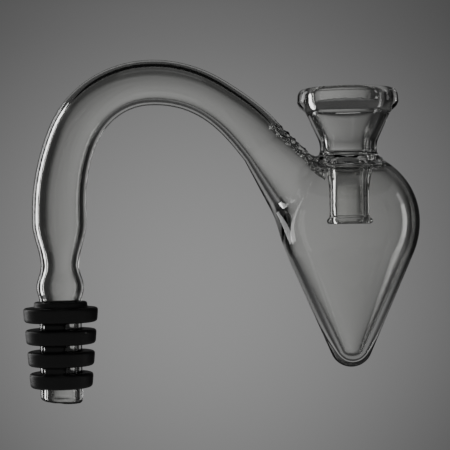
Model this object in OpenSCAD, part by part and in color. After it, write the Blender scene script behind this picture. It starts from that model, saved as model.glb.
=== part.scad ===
// S-bend fermentation airlock: a blown glass bulb, cup and gooseneck on a finned rubber bung.
// Millimetres, +Z up. The origin is on the stem's axis at the underside of the bung's top fin,
// where the bottle's rim meets it, and +X points from the stem to the bulb.

/* [Glass tube] */
// Outer diameter of the straight stem
stem_d = 12; // [11:0.5:13]
// Wall thickness of the drawn tube
tube_wall = 1.8; // [1.4:0.1:2]
// How far the stem's tip reaches below the top fin
stem_drop = 23.3; // [21:0.1:30]
// Tilt of the tip's slanted cut, in degrees
tip_slant = 5; // [0:1:8]
// Outer diameter of the swage bead that sits on the bung
swage_d = 13.6; // [13.2:0.1:14]
// Outer diameter of the pinched neck above the swage bead
pinch_d = 10.9; // [10.4:0.1:12]
// Outer diameter of the rising leg
leg_d = 15.5; // [14.5:0.1:16]
// Height at which the rising leg starts to bend
leg_top = 32; // [30:0.5:34]

/* [Gooseneck] */
// Bend radius of the rising leg
rise_r = 55; // [50:1:60]
// Turn of the rising leg, in degrees
rise_turn = 22; // [20:1:24]
// Outer diameter where the rising leg meets the crown
rise_end_d = 14.4; // [14:0.1:15]
// Bend radius of the crown
crown_r = 24.5; // [23:0.5:26]
// Turn of the crown, in degrees
crown_turn = 64; // [62:1:66]
// Outer diameter at the end of the crown
crown_end_d = 13; // [12.6:0.1:14]
// Bend radius of the falling bend
fall_r = 32; // [31:0.5:34]
// Turn of the falling bend, in degrees
fall_turn = 36; // [34:1:38]
// Outer diameter at the end of the falling bend
fall_end_d = 12.6; // [12.4:0.1:14]
// Bend radius of the drop leg
drop_r = 54; // [52:1:56]
// Turn of the drop leg, in degrees
drop_turn = 21.5; // [20:0.5:23]
// Outer diameter where the drop leg meets the flared inlet
drop_end_d = 14.4; // [14:0.1:15]
// Length of the flared inlet, up to where it is trimmed inside the bulb
inlet_length = 24; // [22:0.5:26]
// Half-angle of the inlet's flare, in degrees
inlet_flare = 9.5; // [9:0.5:10.5]
// Half-angle of the inlet's bore, in degrees
inlet_bore_flare = 8; // [5:0.5:9]
// Lean of the inlet's bore towards the seal, in degrees, which thickens the lower wall
inlet_bore_lean = 3; // [0:0.5:5]

/* [Bulb] */
// Distance between the stem's axis and the bulb's axis
bulb_x = 82.8; // [82:0.1:84]
// Height of the bulb's widest circle
bulb_z = 27.5; // [26.5:0.1:28.5]
// Radius of the bulb's round shoulder
shoulder_r = 20; // [19:0.1:21]
// Radius of the curve from the widest circle into the taper
belly_r = 23.6; // [22.5:0.1:25]
// Radius of the round nose
nose_r = 6.1; // [5:0.1:7]
// Height of the bottom of the nose
nose_z = -14; // [-16:0.5:-12]
// Wall thickness of the bulb's shoulder
bulb_wall = 1.5; // [1.2:0.1:1.6]
// Wall thickness of the bulb's nose
nose_wall = 2.8; // [2:0.1:3.2]
// Radius of the opening at the top of the bulb, to the outside of its wall
bulb_mouth_r = 10; // [9.5:0.1:10.5]

/* [Cup and dip tube] */
// Outer radius of the cup's waist
waist_r = 8.1; // [7.9:0.1:8.4]
// Height of the cup's waist
waist_z = 48.4; // [48:0.1:49]
// Slope of the cup's side from the vertical, in degrees
cup_slope = 24.5; // [22:0.5:26]
// Height at which the cup's side ends and the rolled rim starts
cup_top = 60.15; // [59.5:0.05:60.5]
// Wall thickness of the cup
cup_wall = 2.3; // [2:0.1:2.4]
// Outer radius of the rolled rim
rim_r = 14.35; // [14.2:0.05:14.6]
// Height of the rolled rim's section
rim_h = 4.9; // [4.4:0.1:5.2]
// Width of the rolled rim's section
rim_w = 4.4; // [4:0.1:4.6]
// Bore radius of the dip tube
dip_bore_r = 4.15; // [4:0.05:4.4]
// Outer radius of the dip tube at its middle
dip_r = 5.7; // [5.4:0.1:5.8]
// Outer radius of the dip tube's fire-polished end
dip_end_r = 6.1; // [5.9:0.1:6.4]
// Height of the lower end of the dip tube
dip_end_z = 26.8; // [26:0.1:30]

/* [Bung] */
// Radius of the top fin at its upper edge
fin_r = 10.7; // [10.2:0.1:11.2]
// Half-angle of the cone that the fins' rims lie on, in degrees
fin_cone = 4.8; // [3:0.1:6]
// Thickness of a fin
fin_t = 4.15; // [3.6:0.05:4.4]
// Distance from one fin to the next
fin_pitch = 6.2; // [6:0.1:6.6]
// Number of fins
fins = 4; // [3:1:5]
// Radius of the collar on top of the bung
collar_r = 7.6; // [7.4:0.1:8.4]
// Height of the collar
collar_h = 1.7; // [1.4:0.1:1.7]
// Width of the front rib that joins the fins
front_rib_w = 5.8; // [4:0.1:7]
// Width of the rear rib that joins the fins
rear_rib_w = 3.4; // [2:0.1:5]
// How far a rib stands out from the stem's axis
rib_r = 8; // [7.5:0.1:8.3]
// Turn of the ribs about the stem's axis, in degrees
rib_turn = -8; // [-20:1:20]

/* [Hidden] */
$fn = 64;

GLASS = [0.86, 0.90, 0.91, 0.35];
RUBBER = [0.05, 0.05, 0.05];

stem_r = stem_d / 2;
// Radial clearance of the stem in the bung's bore
stem_play = 0.05;
swage_start = fin_t + collar_h + 0.1;
swage_z = 9.8;
pinch_z = 16;
leg_start = 28.5;
tip_round = 1.2;
// Steps in a smooth change of radius, sides of a bent tube and degrees between its rings
ease_steps = 7;
tube_sides = 24;
ring_step = 4;
arc_step = 6;
seal_step = 22.5;
dip_top = 42.8;
dip_top_r = 6.6;
dip_taper_z = 36;
dip_end_h = 1.6;
seal_top = 46.6;
seal_bore_h = 1.6;
cup_foot_r = 8.35;
waist_curve_r = 7;
// Angles about its centre between which the rolled rim's section stands clear of the cup's wall
rim_from = -60;
rim_to = 200;
chamfer = 0.35;
// How far a cut runs past what it cuts
cut_past = 1;

// Points on an arc about c, from angle a0 to a1, both ends included
function arc(c, r, a0, a1, n = 0) =
    let (steps = n > 0 ? n : max(2, ceil(abs(a1 - a0) / arc_step)))
    [for (i = [0 : steps]) let (a = a0 + (a1 - a0) * i / steps) c + r * [cos(a), sin(a)]];

// Points [r, z] of a smooth change of radius from a to b, without the last point
function ease(a, b) =
    [for (i = [0 : ease_steps - 1])
        let (t = i / ease_steps, s = (1 - cos(180 * t)) / 2)
        [a[0] + (b[0] - a[0]) * s, a[1] + (b[1] - a[1]) * t]];

function reversed(list) = [for (i = [len(list) - 1 : -1 : 0]) list[i]];

module lathe(points) {
    rotate_extrude() polygon(points);
}

/* Stem */

// Outline of the stem above its tip, drawn in by w towards the axis
function stem_side(w) = concat(
    [[stem_r - w, -stem_drop + tip_round]],
    ease([stem_r - w, swage_start], [swage_d / 2 - w, swage_z]),
    ease([swage_d / 2 - w, swage_z], [pinch_d / 2 - w, pinch_z]),
    ease([pinch_d / 2 - w, pinch_z], [leg_d / 2 - w, leg_start]),
    [[leg_d / 2 - w, leg_start], [leg_d / 2 - w, leg_top]]);

module stem_tube() {
    bore = stem_r - tube_wall;
    tip = arc([stem_r - tip_round, -stem_drop + tip_round], tip_round, -90, 0);
    cut_h = stem_d * sin(tip_slant) + cut_past;
    color(GLASS)
    difference() {
        lathe(concat([[bore, -stem_drop]], tip, stem_side(0), reversed(stem_side(tube_wall))));
        // The slanted cut: a block that takes off the high side of the tip
        translate([0, 0, -stem_drop])
        rotate([0, tip_slant, 0])
        translate([-stem_d, -stem_d, -cut_h])
        cube([2 * stem_d, 2 * stem_d, cut_h]);
    }
}

/* Gooseneck */

// A bend is [start point [x, z], heading in degrees, radius, turn]. Bends turn right, so the
// heading falls along them. Each one starts where the last one ends.
function along(b, t) =
    let (h = b[1] - b[3] * t)
    b[0] + b[2] * [sin(b[1]) - sin(h), cos(h) - cos(b[1])];
function next_bend(b, radius, turn) = [along(b, 1), b[1] - b[3], radius, turn];

rise_bend = [[0, leg_top], 90, rise_r, rise_turn];
crown = next_bend(rise_bend, crown_r, crown_turn);
fall = next_bend(crown, fall_r, fall_turn);
drop = next_bend(fall, drop_r, drop_turn);
inlet_start = along(drop, 1);
inlet_heading = drop[1] - drop[3];

// A tube along a bend, whose outer diameter changes from d0 to d1
module bent_tube(b, d0, d1) {
    rings = ceil(b[3] / ring_step);
    n = tube_sides;
    points = [
        for (i = [0 : rings])
        let (t = i / rings, p = along(b, t), h = b[1] - b[3] * t, d = d0 + (d1 - d0) * t)
        for (r = [d / 2, d / 2 - tube_wall], j = [0 : n - 1])
        let (a = 360 * j / n, out = r * cos(a))
        [p[0] - out * sin(h), r * sin(a), p[1] + out * cos(h)]];
    outer_faces = [
        for (i = [0 : rings - 1], j = [0 : n - 1])
        let (k = (j + 1) % n, a = 2 * n * i, b = a + 2 * n)
        [a + j, b + j, b + k, a + k]];
    inner_faces = [for (f = outer_faces) [f[3] + n, f[2] + n, f[1] + n, f[0] + n]];
    last = 2 * n * rings;
    ends = [
        for (j = [0 : n - 1])
        let (k = (j + 1) % n)
        each [[j, k, k + n, j + n], [last + k, last + j, last + j + n, last + k + n]]];
    color(GLASS)
    polyhedron(points, concat(outer_faces, inner_faces, ends));
}

module rising_leg() bent_tube(rise_bend, leg_d, rise_end_d);
module crown_bend() bent_tube(crown, rise_end_d, crown_end_d);
module falling_bend() bent_tube(fall, crown_end_d, fall_end_d);
module drop_leg() bent_tube(drop, fall_end_d, drop_end_d);

// A cone on from the gooseneck's end, leaning up from its heading and started earlier by back
module inlet_cone(r0, flare, lean = 0, back = 0) {
    grow = tan(flare);
    translate([inlet_start[0], 0, inlet_start[1]])
    rotate([0, 90 - inlet_heading - lean, 0])
    translate([0, 0, -back])
    cylinder(r1 = r0 - back * grow, r2 = r0 + inlet_length * grow, h = inlet_length + back);
}

module inlet_bore() {
    inlet_cone(drop_end_d / 2 - tube_wall, inlet_bore_flare, inlet_bore_lean, cut_past);
}

module bulb_inlet() {
    color(GLASS)
    difference() {
        inlet_cone(drop_end_d / 2, inlet_flare);
        inlet_bore();
        bulb_solid();
        ring_seal();
    }
}

/* Bulb */

nose_centre = [0, nose_z + nose_r];
belly_centre = [shoulder_r - belly_r, bulb_z];
belly_gap = belly_centre - nose_centre;
mouth_angle = acos(bulb_mouth_r / shoulder_r);

// Side of the bulb from its mouth down to the nose, drawn in by w, and by nose_w at the nose. The
// straight taper touches both the belly and the nose.
function bulb_side(w, nose_w) =
    let (across = belly_r - w - (nose_r - nose_w),
         taper = asin(across / norm(belly_gap)) + atan2(belly_gap[0], belly_gap[1]))
    concat(
        arc([0, bulb_z], shoulder_r - w, mouth_angle, 0),
        arc(belly_centre, belly_r - w, -arc_step, -taper),
        arc(nose_centre, nose_r - nose_w, -taper, -90));

module bulb_solid() {
    side = bulb_side(0, 0);
    translate([bulb_x, 0, 0])
    lathe(concat([[0, side[0][1]]], side));
}

module bulb() {
    color(GLASS)
    difference() {
        translate([bulb_x, 0, 0])
        lathe(concat(bulb_side(0, 0), reversed(bulb_side(bulb_wall, nose_wall))));
        inlet_bore();
    }
}

/* Cup, seal and dip tube */

// The ring where the bulb's mouth, the cup and the dip tube are fused together
module ring_seal() {
    mouth = bulb_side(bulb_wall, nose_wall)[0];
    edge = bulb_side(0, 0)[0];
    // The outside is a quarter of an ellipse from the bulb's mouth up to the cup's foot
    foot = [cup_foot_r, edge[1]];
    reach = [edge[0] - cup_foot_r, seal_top - edge[1]];
    outside = [for (a = [0 : seal_step : 90]) foot + [reach[0] * cos(a), reach[1] * sin(a)]];
    color(GLASS)
    translate([bulb_x, 0, 0])
    lathe(concat(
        [[dip_bore_r, dip_top], [dip_top_r, dip_top], mouth],
        outside,
        [[cup_foot_r - cup_wall, seal_top], [dip_bore_r, dip_top + seal_bore_h]]));
}

module dip_tube() {
    bead = arc([dip_end_r - dip_end_h / 2, dip_end_z + dip_end_h / 2], dip_end_h / 2, -90, 60);
    color(GLASS)
    translate([bulb_x, 0, 0])
    lathe(concat(
        [[dip_bore_r, dip_end_z]],
        bead,
        ease([dip_r, dip_end_z + 2 * dip_end_h], [dip_r, dip_taper_z]),
        ease([dip_r, dip_taper_z], [dip_top_r, dip_top]),
        [[dip_top_r, dip_top], [dip_bore_r, dip_top]]));
}

// Side of the cup from its foot up to the rim, drawn in by w
function cup_side(w) =
    let (curve = arc([waist_r + waist_curve_r, waist_z], waist_curve_r + w, 180, 180 - cup_slope),
         top = curve[len(curve) - 1])
    concat(
        [[cup_foot_r - w, seal_top]],
        curve,
        [[top[0] + (cup_top - top[1]) * tan(cup_slope), cup_top]]);

module cup() {
    color(GLASS)
    translate([bulb_x, 0, 0])
    lathe(concat(cup_side(0), reversed(cup_side(cup_wall))));
}

module cup_rim() {
    outer = cup_side(0);
    inner = cup_side(cup_wall);
    centre = [rim_r - rim_w / 2, cup_top + rim_h / 2];
    section = [
        for (a = [rim_from : 10 : rim_to])
        centre + [rim_w / 2 * cos(a), rim_h / 2 * sin(a)]];
    color(GLASS)
    translate([bulb_x, 0, 0])
    lathe(concat([inner[len(inner) - 1], outer[len(outer) - 1]], section));
}

/* Bung */

// One fin, with its underside at height z
module fin(z) {
    top_r = fin_r + z * tan(fin_cone);
    low_r = top_r - fin_t * tan(fin_cone);
    translate([0, 0, z])
    lathe([
        [0, 0],
        [low_r - chamfer, 0],
        [low_r, chamfer],
        [top_r, fin_t - chamfer],
        [top_r - chamfer, fin_t],
        [0, fin_t]]);
}

module rib(width, side) {
    height = fin_pitch * (fins - 1) + fin_t / 2;
    rotate([0, 0, rib_turn])
    translate([-width / 2, side > 0 ? 0 : -rib_r, fin_t / 2 - height])
    cube([width, rib_r, height]);
}

module bung() {
    bore_r = stem_r + stem_play;
    depth = fin_pitch * fins;
    color(RUBBER)
    difference() {
        union() {
            for (i = [0 : fins - 1]) fin(-i * fin_pitch);
            cylinder(r = collar_r, h = fin_t + collar_h);
            rib(front_rib_w, -1);
            rib(rear_rib_w, 1);
        }
        translate([0, 0, -depth])
        cylinder(r = bore_r, h = depth + fin_t + collar_h + cut_past);
    }
}

bung();
stem_tube();
rising_leg();
crown_bend();
falling_bend();
drop_leg();
bulb_inlet();
bulb();
ring_seal();
dip_tube();
cup();
cup_rim();
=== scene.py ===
import math

import bpy
import numpy as np
from mathutils import Matrix, Vector


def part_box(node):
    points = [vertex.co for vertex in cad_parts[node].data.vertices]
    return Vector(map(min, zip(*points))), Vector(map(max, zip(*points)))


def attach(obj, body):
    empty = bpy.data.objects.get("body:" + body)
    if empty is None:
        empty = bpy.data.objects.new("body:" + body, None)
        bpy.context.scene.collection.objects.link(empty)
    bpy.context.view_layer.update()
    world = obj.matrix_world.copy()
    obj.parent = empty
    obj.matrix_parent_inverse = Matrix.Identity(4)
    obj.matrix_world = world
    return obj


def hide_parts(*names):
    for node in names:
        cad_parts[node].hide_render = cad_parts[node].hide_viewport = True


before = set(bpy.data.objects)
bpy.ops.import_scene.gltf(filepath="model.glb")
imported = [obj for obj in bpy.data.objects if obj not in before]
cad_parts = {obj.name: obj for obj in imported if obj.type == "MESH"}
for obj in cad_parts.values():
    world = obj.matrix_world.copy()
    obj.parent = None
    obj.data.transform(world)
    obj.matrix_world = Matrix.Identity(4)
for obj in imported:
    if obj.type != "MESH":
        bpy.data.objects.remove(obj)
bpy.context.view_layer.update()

MM = 0.001

# Sizes read from the frame, in millimetres ---------------------------------------------------


def box_mm(node):
    """Lowest and highest corner of a CAD node at rest, in millimetres."""
    return [np.array(corner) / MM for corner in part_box(node)]


stem_low, stem_high = box_mm("stem_tube")
bulb_low, bulb_high = box_mm("bulb")
rim_low, rim_high = box_mm("cup_rim")
dip_low, dip_high = box_mm("dip_tube")
bung_low, bung_high = box_mm("bung")
bends_high = box_mm("crown_bend")[1]

BULB_X = bulb_high[0] - bulb_high[1]
SHOULDER_R = bulb_high[1]
NOSE_Z = bulb_low[2]
RIM_R = rim_high[1]
TIP_Z = stem_low[2]
LEG_R = stem_high[1]
LEG_TOP = stem_high[2]
DIP_END_R = dip_high[1]
DIP_END_Z = dip_low[2]
FIN_R = bung_high[1]
BUNG_TOP = bung_high[2]
# The cup's wall ends a little above the rim's underside
CUP_IN_RIM = 0.6
CUP_TOP = rim_low[2] + CUP_IN_RIM

# Sizes that the frame's boxes don't hold, in millimetres and degrees --------------------------

STEM_R = 6.0
# How far the rising leg swings out past the stem's side
LEG_SWING = 1
TUBE_WALL = 1.8
TIP_SLANT = 5
TIP_EDGE = 1.3
# The stem's outline above its straight end: (height, outer radius)
STEM_OUTLINE = ((5.95, STEM_R), (9.8, 6.8), (16.0, 5.45), (28.5, LEG_R))
# The gooseneck's bends, all to the right: (radius, turn, outer radius of the tube at its end)
BENDS = ((55, 22, 7.2), (24.5, 64, 6.5), (32, 36, 6.3), (54, 21.5, 7.2))
INLET_LENGTH = 24
INLET_FLARE = 9.5
# The inlet's bore leans towards the seal and flares less, so its lower wall thickens to a wedge
INLET_BORE_LEAN = 3
INLET_BORE_FLARE = 8
INLET_FILLET = 2.5

BULB_Z = 27.5
BELLY_R = 23.6
NOSE_R = 6.1
BULB_WALL = 1.5
NOSE_WALL = 2.8
# How far the cavity is off the bulb's axis, away from the inlet
CAVITY_SHIFT = 0.3
# Height of the flat ceiling of the bulb's cavity, under the seal
CAVITY_TOP = 43.4
CEILING_FILLET = 1.5
CAVITY_FILLET = 3.2

WAIST_R = 8.1
WAIST_Z = 48.4
WAIST_CURVE_R = 7
CUP_SLOPE = 24.5
CUP_WALL = 2.3
CUP_FLOOR = 45.4
CUP_FILLET = 1.5
FUNNEL_FILLET = 3.0
RIM_W = 4.0
RIM_H = 5.3
RIM_Z = 62.6
# Power of the rim's section: 2 is an ellipse, and more fills its corners
RIM_FULL = 2.4
RIM_FILLET = 1.9

DIP_BORE_R = 4.15
# How far the bore is cut past the dip tube's end, and how far the tube runs into the ceiling
BORE_REACH = 3
DIP_REACH = 1
BORE_EDGE = 0.5
# The dip tube's outline: (height, outer radius)
DIP_OUTLINE = ((28.0, 5.7), (36.0, 5.7), (42.8, 6.6), (45.0, 7.6))
DIP_BEAD_R = 0.8
DIP_BEAD_FILLET = 0.8
DIP_END_RISE = 0.3
DIP_FILLET = 1.2

# The meshes' grids
GLASS_STEP = 0.65
BUNG_STEP = 0.42
GRID_MARGIN = 2
# Filling of corners where the surface would touch itself
JOIN_PASSES = 3
JOIN_DEPTH = -0.02
# Bounds for the fields' values: the least squared slope, and a distance beyond everything
LEAST_SLOPE = 0.05
FAR = 1e3

# Distance fields: arrays in millimetres, negative inside --------------------------------------


def smooth_min(a, b, blend):
    """The lower of two fields, with a fillet about as wide as blend."""
    mix = np.clip(0.5 + 0.5 * (b - a) / blend, 0, 1)
    return b + (a - b) * mix - blend * mix * (1 - mix)


def smooth_max(a, b, blend):
    return -smooth_min(-a, -b, blend)


def eased(at, keys):
    """A value that goes smoothly from key to key; keys are (place, value)."""
    places, values = np.array(keys, float).T
    i = np.clip(np.searchsorted(places, at) - 1, 0, len(places) - 2)
    part = np.clip((at - places[i]) / (places[i + 1] - places[i]), 0, 1)
    return values[i] + (values[i + 1] - values[i]) * (1 - np.cos(np.pi * part)) / 2


# The gooseneck's centre line ------------------------------------------------------------------


def centre_line(inlet_lean):
    """The tube's stretches as (start, heading, radius, turn, length before it).

    A straight stretch has no radius, and its length stands in the turn's place.
    """
    start, heading, done = np.array([0.0, LEG_TOP]), math.radians(90), LEG_TOP - TIP_Z
    stretches = [(np.array([0.0, TIP_Z]), heading, 0, LEG_TOP - TIP_Z, 0.0)]
    for radius, turn_deg, _ in BENDS:
        turn = math.radians(turn_deg)
        stretches.append((start, heading, radius, turn, done))
        after = heading - turn
        start = start + radius * np.array(
            [math.sin(heading) - math.sin(after), math.cos(after) - math.cos(heading)]
        )
        heading, done = after, done + radius * turn
    stretches.append((start, heading + math.radians(inlet_lean), 0, INLET_LENGTH, done))
    return stretches


def nearest_on(stretch, x, z):
    """Distance in the plane from one stretch, and the length along the tube of the nearest point."""
    start, heading, radius, size, done = stretch
    if radius == 0:
        along = np.clip((x - start[0]) * math.cos(heading) + (z - start[1]) * math.sin(heading), 0, size)
        near_x, near_z = start[0] + along * math.cos(heading), start[1] + along * math.sin(heading)
        return np.hypot(x - near_x, z - near_z), done + along
    centre = start + radius * np.array([math.sin(heading), -math.cos(heading)])
    angle = heading - np.arctan2(-(x - centre[0]), z - centre[1])
    turned = np.clip((angle + math.pi) % (2 * math.pi) - math.pi, 0, size)
    at = heading - turned
    near_x, near_z = centre[0] - radius * np.sin(at), centre[1] + radius * np.cos(at)
    return np.hypot(x - near_x, z - near_z), done + radius * turned


def along_tube(stretches, x, z):
    """Distance in the plane from the centre line, and the length along it."""
    away, length = nearest_on(stretches[0], x, z)
    for stretch in stretches[1:]:
        next_away, next_length = nearest_on(stretch, x, z)
        nearer = next_away < away
        away = np.where(nearer, next_away, away)
        length = np.where(nearer, next_length, length)
    return away, length


OUTER_LINE = centre_line(0)
BORE_LINE = centre_line(INLET_BORE_LEAN)
INLET_AT = OUTER_LINE[-1][4]


def tube_radius(length, flare, wall):
    """Radius of the tube's surface, drawn in by wall, at a length along the centre line."""
    keys = [(z - TIP_Z, r - wall) for z, r in STEM_OUTLINE]
    for stretch, bend in zip(OUTER_LINE[2:], BENDS):
        keys.append((stretch[4], bend[2] - wall))
    return eased(length, keys) + np.maximum(length - INLET_AT, 0) * math.tan(math.radians(flare))


def tube_field(x, y, z):
    away, length = along_tube(OUTER_LINE, x, z)
    return np.hypot(away, y) - tube_radius(length, INLET_FLARE, 0)


def tube_bore_field(x, y, z):
    away, length = along_tube(BORE_LINE, x, z)
    return np.hypot(away, y) - tube_radius(length, INLET_BORE_FLARE, TUBE_WALL)


# Bulb, cup and dip tube -----------------------------------------------------------------------


def bulb_field(rho, z, wall=0.0, nose_wall=0.0):
    """The bulb's round shoulder, belly, straight taper and round nose, drawn in by its wall."""
    shoulder_r, belly_r, nose_r = SHOULDER_R - wall, BELLY_R - wall, NOSE_R - nose_wall
    nose_z = NOSE_Z + NOSE_R
    inset, drop = BELLY_R - SHOULDER_R, BULB_Z - nose_z
    taper = math.asin((belly_r - nose_r) / math.hypot(inset, drop)) - math.atan2(inset, drop)
    out, down = rho + inset, BULB_Z - z
    straight = out * math.cos(taper) + down * math.sin(taper) - belly_r
    slid = down * math.cos(taper) - out * math.sin(taper)
    slid_nose = drop * math.cos(taper) - inset * math.sin(taper)
    field = np.where(np.arctan2(down, out) < taper, np.hypot(out, down) - belly_r, straight)
    field = np.where(slid > slid_nose, np.hypot(rho, z - nose_z) - nose_r, field)
    return np.where(z > BULB_Z, np.hypot(rho, z - BULB_Z) - shoulder_r, field)


def cup_side_field(rho, z):
    """The outside of the cup, without its ends: a round waist between two straight slopes."""
    slope = math.radians(CUP_SLOPE)
    reach = WAIST_CURVE_R * math.sin(slope)
    up = np.abs(z - WAIST_Z)
    curve = WAIST_CURVE_R - np.sqrt(WAIST_CURVE_R**2 - np.minimum(up, reach) ** 2)
    radius = WAIST_R + curve + np.maximum(up - reach, 0) * math.tan(slope)
    lean = np.arcsin(np.minimum(up, reach) / WAIST_CURVE_R)
    return (rho - radius) * np.cos(lean)


def rim_field(rho, z):
    """The rolled rim: a ring about the bulb's axis whose section is a full ellipse."""
    u = np.abs(rho - RIM_R + RIM_W / 2) * 2 / RIM_W
    v = np.abs(z - RIM_Z) * 2 / RIM_H
    return ((u**RIM_FULL + v**RIM_FULL) ** (1 / RIM_FULL) - 1) * RIM_W / 2


def passage_field(rho, z):
    """The space inside the cup and down the dip tube's bore."""
    cup = smooth_max(cup_side_field(rho, z) + CUP_WALL, CUP_FLOOR - z, FUNNEL_FILLET)
    bore = np.maximum(rho - DIP_BORE_R, DIP_END_Z - BORE_REACH - z)
    return smooth_min(cup, bore, FUNNEL_FILLET)


def dip_rod_field(rho, z):
    """The dip tube before it is bored, with the fire-polished bead at its end."""
    rod = smooth_max(rho - eased(z, DIP_OUTLINE), DIP_END_Z + DIP_END_RISE - z, DIP_FILLET)
    rod = np.maximum(rod, z - CAVITY_TOP - DIP_REACH)
    bead_ring = DIP_END_R - DIP_BEAD_R
    bead = np.hypot(rho - bead_ring, z - DIP_END_Z - DIP_BEAD_R) - DIP_BEAD_R
    return smooth_min(rod, bead, DIP_BEAD_FILLET)


# Hand-made welds ------------------------------------------------------------------------------

# The row of lumps along the inlet: (first, last) where their sizes change along the row
WELD_STEPS = 26
WELD_REACH = (-3, 17.5)
WELD_JOG = (1.3, 2.7)
WELD_JOG_TURN = 2.4
LUMP_R = (0.4, 0.75)
LUMP_UNEVEN = 0.22
LUMP_TURN = 4.1
WELD_DEPTH = 0.2
WELD_FILLET = 0.4
INNER_WELD_TURN = 1.7
# The rings of fused glass: waves are (height, number round the ring, phase)
SEAL_RING_R = 9.2
SEAL_RING_Z = 45.2
SEAL_BEAD_R = 0.3
SEAL_UNEVEN = 0.2
SEAL_WAVES = ((0.5, 5, 1), (0.3, 9, 0), (0.2, 14, 2))
SEAL_RISES = ((0.3, 3, 0.5), (0.2, 11, 0))
SEAL_FILLET = 0.6
INNER_RING_R = 8.9
INNER_RING_Z = 43.2
INNER_BEAD_R = 0.4
INNER_BEADS = 17
INNER_BEAD_RISE = 0.35
INNER_TILT = 0.3
INNER_SWAYS = ((1.5, 3, 0),)
INNER_WAVES = ((0.5, 5, 2),)
INNER_RISES = ((0.35, 4, 1), (0.25, 11, 0))


def between(ends, part):
    return ends[0] + (ends[1] - ends[0]) * part


def weld_lumps(depth, phase):
    """Lumps along the inlet's upper side, up to the cup's foot, as (x, y, z, radius)."""
    start, heading = OUTER_LINE[-1][:2]
    normal = np.array([-math.sin(heading), math.cos(heading)])
    flare = math.radians(INLET_FLARE)
    lumps = []
    for i in range(WELD_STEPS):
        part = i / (WELD_STEPS - 1)
        slid = between(WELD_REACH, part)
        radius = BENDS[-1][2] + slid * math.tan(flare) - depth
        jog = math.sin(i * WELD_JOG_TURN + phase) * between(WELD_JOG, part)
        height = math.sqrt(radius**2 - jog**2)
        spot = start + slid * np.array([math.cos(heading), math.sin(heading)]) + height * normal
        size = between(LUMP_R, part) + LUMP_UNEVEN * math.sin(i * LUMP_TURN + phase)
        lumps.append((spot[0], jog, spot[1], size))
    return lumps


def weld_field(x, y, z, depth, phase):
    """A row of lumps, depth below the inlet's outside."""
    field = np.full(np.broadcast(x, y, z).shape, FAR)
    for at_x, at_y, at_z, radius in weld_lumps(depth, phase):
        away = np.sqrt((x - at_x) ** 2 + (y - at_y) ** 2 + (z - at_z) ** 2)
        field = np.minimum(field, away - radius)
    return field


def waves(angle, terms):
    return sum(height * np.sin(number * angle + phase) for height, number, phase in terms)


def seal_bead_field(rho, z, angle):
    """The uneven ring of fused glass where the cup's foot meets the bulb."""
    wave = SEAL_UNEVEN * waves(angle, SEAL_WAVES)
    rise = waves(angle, SEAL_RISES)
    return np.hypot(rho - SEAL_RING_R - wave, z - SEAL_RING_Z - rise) - SEAL_BEAD_R - wave


def inner_seal_field(rho, z, angle):
    """The beaded ring under the seal, where the dip tube is fused to the bulb's ceiling."""
    beads = np.maximum(np.sin(INNER_BEADS * angle + waves(angle, INNER_SWAYS)), 0)
    thick = INNER_BEAD_R + INNER_BEAD_RISE * (beads + waves(angle, INNER_WAVES))
    rise = waves(angle, INNER_RISES)
    return np.hypot(rho - INNER_RING_R - INNER_TILT * rise, z - INNER_RING_Z - rise) - thick


def cavity_field(x, y, z):
    """The space inside the gooseneck and the bulb."""
    cavity = bulb_field(np.hypot(x - BULB_X - CAVITY_SHIFT, y), z, BULB_WALL, NOSE_WALL)
    cavity = smooth_max(cavity, z - CAVITY_TOP, CEILING_FILLET)
    return smooth_min(tube_bore_field(x, y, z), cavity, CAVITY_FILLET)


def tip_field(x, z):
    """The slanted plane that cuts the stem's tip."""
    slant = math.radians(TIP_SLANT)
    return (TIP_Z + STEM_R * math.sin(slant) - z) * math.cos(slant) - x * math.sin(slant)


def glass_field(x, y, z):
    """The whole of the blown glass, as one solid."""
    rho = np.hypot(x - BULB_X, y)
    angle = np.arctan2(y, x - BULB_X)
    cup_solid = np.maximum(cup_side_field(rho, z), np.maximum(CAVITY_TOP - z, z - CUP_TOP))
    solid = smooth_min(tube_field(x, y, z), bulb_field(rho, z), INLET_FILLET)
    solid = smooth_min(solid, cup_solid, CUP_FILLET)
    solid = smooth_min(solid, weld_field(x, y, z, WELD_DEPTH, 0), WELD_FILLET)
    solid = smooth_min(solid, seal_bead_field(rho, z, angle), SEAL_FILLET)
    solid = np.maximum(solid, -cavity_field(x, y, z))
    solid = smooth_min(solid, dip_rod_field(rho, z), DIP_FILLET)
    solid = smooth_min(solid, inner_seal_field(rho, z, angle), WELD_FILLET)
    inner_weld = weld_field(x, y, z, TUBE_WALL + WELD_DEPTH, INNER_WELD_TURN)
    solid = smooth_min(solid, inner_weld, WELD_FILLET)
    solid = smooth_max(solid, -passage_field(rho, z), BORE_EDGE)
    solid = smooth_min(solid, rim_field(rho, z), RIM_FILLET)
    return smooth_max(solid, tip_field(x, z), TIP_EDGE)


# Bung -----------------------------------------------------------------------------------------

FINS = 4
FIN_PITCH = 6.2
FIN_T = 4.15
FIN_CONE = 4.8
FIN_EDGE = 1.0
COLLAR_R = 7.6
COLLAR_EDGE = 0.8
BUNG_BORE_R = 6.05
BUNG_BORE_EDGE = 0.4
# The ribs between the fins: (side, width)
RIBS = ((-1, 5.8), (1, 3.4))
RIB_EDGE = 1.2
RIB_FILLET = 0.9
RIB_R = 8.0
RIB_TURN = -8


def fins_field(rho, z):
    """Round fins on a common cone."""
    cone = math.radians(FIN_CONE)
    side = (rho - FIN_R - (z - FIN_T) * math.tan(cone)) * math.cos(cone)
    middles = [FIN_T / 2 - i * FIN_PITCH for i in range(FINS)]
    fins = [smooth_max(side, np.abs(z - middle) - FIN_T / 2, FIN_EDGE) for middle in middles]
    return np.minimum.reduce(fins)


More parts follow.
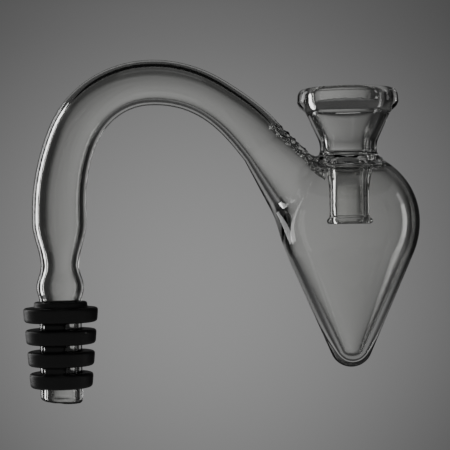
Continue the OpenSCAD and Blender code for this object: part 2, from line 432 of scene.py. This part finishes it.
def bung_field(x, y, z):
    """The moulded rubber bung: fins, two ribs and a collar, round the stem's bore."""
    rho = np.hypot(x, y)
    solid = fins_field(rho, z)
    turn = math.radians(RIB_TURN)
    across = x * math.cos(turn) + y * math.sin(turn)
    out = y * math.cos(turn) - x * math.sin(turn)
    low = FIN_T / 2 - (FINS - 1) * FIN_PITCH
    for side, width in RIBS:
        rib = smooth_max(np.abs(across) - width / 2, out * side - RIB_R, RIB_EDGE)
        rib = np.maximum(rib, np.maximum(-out * side, np.maximum(low - z, z - FIN_T / 2)))
        solid = smooth_min(solid, rib, RIB_FILLET)
    collar = smooth_max(rho - COLLAR_R, np.maximum(z - BUNG_TOP, -z), COLLAR_EDGE)
    solid = smooth_min(solid, collar, COLLAR_EDGE)
    return smooth_max(solid, BUNG_BORE_R - rho, BUNG_BORE_EDGE)


# Fields to meshes -----------------------------------------------------------------------------


def grid_axis(low, high, step):
    count = math.ceil((high - low) / step)
    middle = (low + high) / 2
    return middle + (np.arange(count + 1) - count / 2) * step


def crossings(values):
    """For each grid cell, the sum and the number of the places where the surface cuts its edges."""
    cells = tuple(n - 1 for n in values.shape)
    total = np.zeros(cells + (3,))
    count = np.zeros(cells)
    for axis in range(3):
        others = [a for a in range(3) if a != axis]
        for corner in ((0, 0), (0, 1), (1, 0), (1, 1)):
            offset = [0, 0, 0]
            offset[others[0]], offset[others[1]] = corner
            first = tuple(slice(o, o + n) for o, n in zip(offset, cells))
            offset[axis] = 1
            second = tuple(slice(o, o + n) for o, n in zip(offset, cells))
            a, b = values[first], values[second]
            hit = (a < 0) != (b < 0)
            place = np.where(hit, a / np.where(hit, a - b, 1), 0)
            for other, o in zip(others, corner):
                total[..., other] += hit * o
            total[..., axis] += place
            count += hit
    return total, count


def joined(values):
    """The grid's values, with a corner filled wherever the surface would touch itself."""
    for axes in ((0, 1), (0, 2), (1, 2)) * JOIN_PASSES:
        grid = np.moveaxis(values, axes, (0, 1))
        level = grid[:-1, :-1], grid[1:, 1:]
        crossed = grid[:-1, 1:], grid[1:, :-1]
        for (first, last), (third, fourth) in ((level, crossed), (crossed, level)):
            touching = (first >= 0) & (last >= 0) & (third < 0) & (fourth < 0)
            nearer = touching & (first <= last)
            further = touching & (first > last)
            first[nearer] = JOIN_DEPTH
            last[further] = JOIN_DEPTH
    return values


def quads_across(values, axis, numbers):
    """The faces that stand across the grid edges along one axis, wound to face outwards."""
    a = np.moveaxis(values, axis, 0)
    cells = np.moveaxis(numbers, axis, 0)
    inside = a[:-1, 1:-1, 1:-1] < 0
    outside = a[1:, 1:-1, 1:-1] < 0
    faces = []
    for hit, forward in ((inside & ~outside, True), (~inside & outside, False)):
        i, j, k = np.nonzero(hit)
        ring = [cells[i, j, k], cells[i, j + 1, k], cells[i, j + 1, k + 1], cells[i, j, k + 1]]
        flip = forward == (axis == 1)
        faces.append(np.stack(ring[::-1] if flip else ring, axis=1))
    return np.concatenate(faces)


def pulled_to(field, points, passes=3, reach=0.02):
    """Moves points along the field's slope until they lie on its surface."""
    for _ in range(passes):
        x, y, z = points.T
        here = field(x, y, z)
        slope = np.stack(
            [
                field(x + reach, y, z) - field(x - reach, y, z),
                field(x, y + reach, z) - field(x, y - reach, z),
                field(x, y, z + reach) - field(x, y, z - reach),
            ],
            axis=1,
        ) / (2 * reach)
        steep = np.maximum((slope**2).sum(axis=1), LEAST_SLOPE)
        points = points - slope * (here / steep)[:, None]
    return points


def field_mesh(name, field, low, high, step):
    """An object whose surface is where the field is zero, as even quads with smooth shading."""
    axes = [grid_axis(a - GRID_MARGIN, b + GRID_MARGIN, step) for a, b in zip(low, high)]
    x, y, z = np.meshgrid(*axes, indexing="ij", sparse=True)
    values = joined(field(x, y, z))
    total, count = crossings(values)
    used = count > 0
    numbers = np.full(count.shape, -1)
    numbers[used] = np.arange(used.sum())
    corner = np.stack(np.nonzero(used), axis=1) + total[used] / count[used][:, None]
    points = corner * step + np.array([axis[0] for axis in axes])
    points = pulled_to(field, points)
    faces = np.concatenate([quads_across(values, axis, numbers) for axis in range(3)])
    mesh = bpy.data.meshes.new(name)
    mesh.from_pydata((points * MM).tolist(), [], faces.tolist())
    mesh.shade_smooth()
    piece = bpy.data.objects.new(name, mesh)
    bpy.context.scene.collection.objects.link(piece)
    return piece


# Materials ------------------------------------------------------------------------------------


GLASS_IOR = 1.472
# Darkest and palest colour of each material, then (scale, detail) of its noises and their roughness
GLASS_TINTS = ((0.93, 0.935, 0.92), (0.975, 0.975, 0.965))
CLOUD_NOISE = (60, 2)
SMEAR_NOISE = (140, 4)
SMEAR_RANGE = (0.45, 0.75)
SMEAR_ROUGHNESS = (0.0, 0.035)
RUBBER_TINTS = ((0.004, 0.004, 0.004), (0.012, 0.012, 0.012))
DUST_NOISE = (300, 5)
DUST_ROUGHNESS = (0.36, 0.56)
GRAIN_NOISE = (2600, 3)
GRAIN_STRENGTH = 0.25
GRAIN_DEPTH = 0.08 * MM


def new_material(name):
    material = bpy.data.materials.new(name)
    material.use_nodes = True
    nodes = material.node_tree.nodes
    return material, nodes, material.node_tree.links, nodes["Principled BSDF"]


def wire_noise(nodes, links, coords, scale, detail):
    node = nodes.new("ShaderNodeTexNoise")
    node.inputs["Scale"].default_value = scale
    node.inputs["Detail"].default_value = detail
    links.new(coords.outputs["Object"], node.inputs["Vector"])
    return node.outputs["Fac"]


def wire_tint(nodes, links, value, tints):
    """A colour between two, by value."""
    node = nodes.new("ShaderNodeValToRGB")
    for stop, tint in zip(node.color_ramp.elements, tints):
        stop.color = (*tint, 1)
    links.new(value, node.inputs["Fac"])
    return node.outputs["Color"]


def wire_range(nodes, links, value, start, end, low, high, kind="LINEAR"):
    """A number that goes from low to high as value goes from start to end."""
    node = nodes.new("ShaderNodeMapRange")
    node.interpolation_type = kind
    for socket, number in zip(node.inputs[1:5], (start, end, low, high)):
        socket.default_value = number
    links.new(value, node.inputs["Value"])
    return node.outputs["Result"]


def glass_material():
    """Clear glass with a faint tint that drifts and faint smears."""
    material, nodes, links, surface = new_material("clear_blown_glass")
    coords = nodes.new("ShaderNodeTexCoord")
    surface.inputs["Transmission Weight"].default_value = 1
    surface.inputs["IOR"].default_value = GLASS_IOR
    cloud = wire_noise(nodes, links, coords, *CLOUD_NOISE)
    links.new(wire_tint(nodes, links, cloud, GLASS_TINTS), surface.inputs["Base Color"])
    smear = wire_noise(nodes, links, coords, *SMEAR_NOISE)
    rough = wire_range(nodes, links, smear, *SMEAR_RANGE, *SMEAR_ROUGHNESS)
    links.new(rough, surface.inputs["Roughness"])
    return material


def rubber_material():
    """Black rubber with a trace of dust and the fine grain of its mould."""
    material, nodes, links, surface = new_material("black_moulded_rubber")
    coords = nodes.new("ShaderNodeTexCoord")
    dust = wire_noise(nodes, links, coords, *DUST_NOISE)
    links.new(wire_tint(nodes, links, dust, RUBBER_TINTS), surface.inputs["Base Color"])
    rough = wire_range(nodes, links, dust, 0, 1, *DUST_ROUGHNESS)
    links.new(rough, surface.inputs["Roughness"])
    bump = nodes.new("ShaderNodeBump")
    bump.inputs["Strength"].default_value = GRAIN_STRENGTH
    bump.inputs["Distance"].default_value = GRAIN_DEPTH
    links.new(wire_noise(nodes, links, coords, *GRAIN_NOISE), bump.inputs["Height"])
    links.new(bump.outputs["Normal"], surface.inputs["Normal"])
    return material


# Stage, lights and camera ---------------------------------------------------------------------

# Camera and sweep, in metres and degrees
CAMERA_FAR = 0.38
SENSOR_WIDTH = 36
CLIP_START = 0.01
FRAME_WIDTH = 128.5713 * MM
VIEW_CENTRE = (0.0473, 0.0, 0.0270)
CAMERA_ROLL = -0.85
BOWL_R = 1.1
BOWL_FLOOR = -0.22
BOWL_COVE = 0.45
BOWL_TOP = 0.9
COVE_STEPS = 16
SWEEP_SIDES = 96
SWEEP_SHADE = 0.03
SWEEP_ROUGHNESS = 0.9
# Light painted into the sweep's emission, by the direction (x, y, z) from the middle of the stage: the
# painted glow's place and spread, and where smooth steps start and end
GLOW_AT = (-0.0255, -0.041)
GLOW_SPREAD = 0.223
GLOW_LIGHT = 0.285
GLOW_DEPTH = (0.3, 0.6)
# Painted shade: past these edges the painted glow falls to this share, where flags would stand
PAINTED_SHADE_EDGE = (0.235, 0.34)
PAINTED_SHADE_LEAK = 0.06
WALL_LIGHT = 0.003
PALE_LIGHT = 0.17
WALL_TURN = (0.1, 0.45)
FLOOR_DROP = (-0.4, -0.16)
FLOOR_TURN = (0.55, 0.83)
FLOOR_LEAK = 0.12
SKY_RISE = (0.2, 0.4)
SKY_LIGHT = 0.038
# Soft lights: (name, place, width, height, power), in metres and watts
SOFTBOXES = (
    ("left_strip", (-0.53, 0.42, 0.13), 0.2, 0.62, 1.1),
    ("right_strip", (0.85, 0.1, 0.1), 0.11, 0.7, 0.24),
    ("top_fill", (0.05, -0.3, 0.85), 0.6, 0.4, 0.25),
)
WORLD_SHADE = 0.003


def make_camera():
    data = bpy.data.cameras.new("camera")
    data.sensor_width = SENSOR_WIDTH
    data.lens = SENSOR_WIDTH * CAMERA_FAR / FRAME_WIDTH
    data.clip_start = CLIP_START
    camera = bpy.data.objects.new("camera", data)
    place = Matrix.Translation(Vector(VIEW_CENTRE) + Vector((0, -CAMERA_FAR, 0)))
    level = Matrix.Rotation(math.radians(90), 4, "X")
    camera.matrix_world = place @ level @ Matrix.Rotation(math.radians(CAMERA_ROLL), 4, "Z")
    bpy.context.scene.collection.objects.link(camera)
    bpy.context.scene.camera = camera


def wire_maths(nodes, links, operation, a, b=0.0):
    """A Math node; a and b are sockets or numbers."""
    node = nodes.new("ShaderNodeMath")
    node.operation = operation
    for socket, value in zip(node.inputs, (a, b)):
        if isinstance(value, (int, float)):
            socket.default_value = value
        else:
            links.new(value, socket)
    return node.outputs["Value"]


def stage_material():
    """A dark sweep lit by its own emission: a painted glow behind the object, painted shade round it
    where flags would stand, and painted light on the walls, floor and sky.
    """
    material, nodes, links, surface = new_material("sweep_painted_light")
    surface.inputs["Base Color"].default_value = (SWEEP_SHADE, SWEEP_SHADE, SWEEP_SHADE, 1)
    surface.inputs["Roughness"].default_value = SWEEP_ROUGHNESS
    coords = nodes.new("ShaderNodeTexCoord")
    heading = nodes.new("ShaderNodeVectorMath")
    heading.operation = "NORMALIZE"
    links.new(coords.outputs["Object"], heading.inputs[0])
    split = nodes.new("ShaderNodeSeparateXYZ")
    links.new(heading.outputs["Vector"], split.inputs["Vector"])
    x, y, z = (split.outputs[axis] for axis in "XYZ")

    def maths(*values):
        return wire_maths(nodes, links, *values)

    def smooth(*values):
        return wire_range(nodes, links, *values, "SMOOTHSTEP")

    # The painted glow: a pool of light painted into the emission, behind the object
    across = maths("SUBTRACT", x, GLOW_AT[0])
    up = maths("SUBTRACT", z, GLOW_AT[1])
    spread = maths("ADD", maths("MULTIPLY", across, across), maths("MULTIPLY", up, up))
    glow = maths("EXPONENT", maths("MULTIPLY", spread, -0.5 / GLOW_SPREAD**2))
    # Painted shade: the glow is cut down at the sides, top and bottom, where flags would stand
    glow = maths("MULTIPLY", glow, smooth(maths("ABSOLUTE", x), *PAINTED_SHADE_EDGE, 1.0, PAINTED_SHADE_LEAK))
    glow = maths("MULTIPLY", glow, smooth(maths("ABSOLUTE", z), *PAINTED_SHADE_EDGE, 1.0, PAINTED_SHADE_LEAK))
    glow = maths("MULTIPLY", glow, smooth(y, *GLOW_DEPTH, 0.0, GLOW_LIGHT))
    # Painted light on the walls, floor and sky, by direction
    walls = smooth(y, *WALL_TURN, PALE_LIGHT, 0.0)
    floor = smooth(z, *FLOOR_DROP, PALE_LIGHT, 0.0)
    floor = maths("MULTIPLY", floor, smooth(y, *FLOOR_TURN, 1.0, FLOOR_LEAK))
    pale = maths("MAXIMUM", maths("MAXIMUM", walls, floor), smooth(z, *SKY_RISE, 0.0, SKY_LIGHT))
    lit = maths("ADD", maths("ADD", glow, pale), WALL_LIGHT)
    surface.inputs["Emission Color"].default_value = (1, 1, 1, 1)
    links.new(lit, surface.inputs["Emission Strength"])
    material.cycles.emission_sampling = "NONE"
    return material


def sweep_outline():
    """The sweep's profile as (radius, height): floor, cove and wall."""
    cove_r = BOWL_R - BOWL_COVE
    outline = [(0.0, BOWL_FLOOR), (cove_r / 2, BOWL_FLOOR)]
    for i in range(COVE_STEPS + 1):
        turn = math.radians(90) * i / COVE_STEPS
        rise = BOWL_COVE * (1 - math.cos(turn))
        outline.append((cove_r + BOWL_COVE * math.sin(turn), BOWL_FLOOR + rise))
    return outline + [(BOWL_R, BOWL_TOP)]


def make_stage():
    """A floor that curves up into a wall all round, so that no view shows an edge."""
    outline = sweep_outline()
    points, faces = [], []
    for r, z in outline:
        for j in range(SWEEP_SIDES):
            turn = 2 * math.pi * j / SWEEP_SIDES
            points.append((r * math.cos(turn), r * math.sin(turn), z))
    for i in range(len(outline) - 1):
        low, high = i * SWEEP_SIDES, (i + 1) * SWEEP_SIDES
        for j in range(SWEEP_SIDES):
            k = (j + 1) % SWEEP_SIDES
            faces.append((low + j, low + k, high + k, high + j))
    mesh = bpy.data.meshes.new("sweep")
    mesh.from_pydata(points, [], faces)
    mesh.validate()
    mesh.shade_smooth()
    mesh.materials.append(stage_material())
    sweep = bpy.data.objects.new("sweep", mesh)
    sweep.location = (VIEW_CENTRE[0], 0, 0)
    bpy.context.scene.collection.objects.link(sweep)


def softbox(name, place, width, height, power):
    """A soft light that faces the object and isn't seen itself."""
    data = bpy.data.lights.new(name, "AREA")
    data.shape = "RECTANGLE"
    data.size, data.size_y = width, height
    data.energy = power
    light = bpy.data.objects.new(name, data)
    light.location = place
    facing = Vector(VIEW_CENTRE) - Vector(place)
    light.rotation_euler = facing.to_track_quat("-Z", "Y").to_euler()
    light.visible_camera = False
    bpy.context.scene.collection.objects.link(light)


def make_lights():
    for light in SOFTBOXES:
        softbox(*light)
    world = bpy.data.worlds.new("dim_studio")
    world.use_nodes = True
    background = world.node_tree.nodes["Background"]
    background.inputs["Color"].default_value = (WORLD_SHADE, WORLD_SHADE, WORLD_SHADE, 1)
    bpy.context.scene.world = world


# The object -----------------------------------------------------------------------------------

GLASS_NODES = [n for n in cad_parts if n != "bung"]


def make_glass():
    low = np.array([-LEG_R - LEG_SWING, -SHOULDER_R, TIP_Z])
    high = np.array([bulb_high[0], SHOULDER_R, bends_high[2]])
    glass = field_mesh("blown_glass", glass_field, low, high, GLASS_STEP)
    glass.data.materials.append(glass_material())
    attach(glass, "glass")
    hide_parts(*GLASS_NODES)


def make_bung():
    bung = field_mesh("rubber_bung", bung_field, bung_low, bung_high, BUNG_STEP)
    bung.data.materials.append(rubber_material())
    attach(bung, "bung")
    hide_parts("bung")


make_camera()
make_stage()
make_lights()
make_glass()
make_bung()
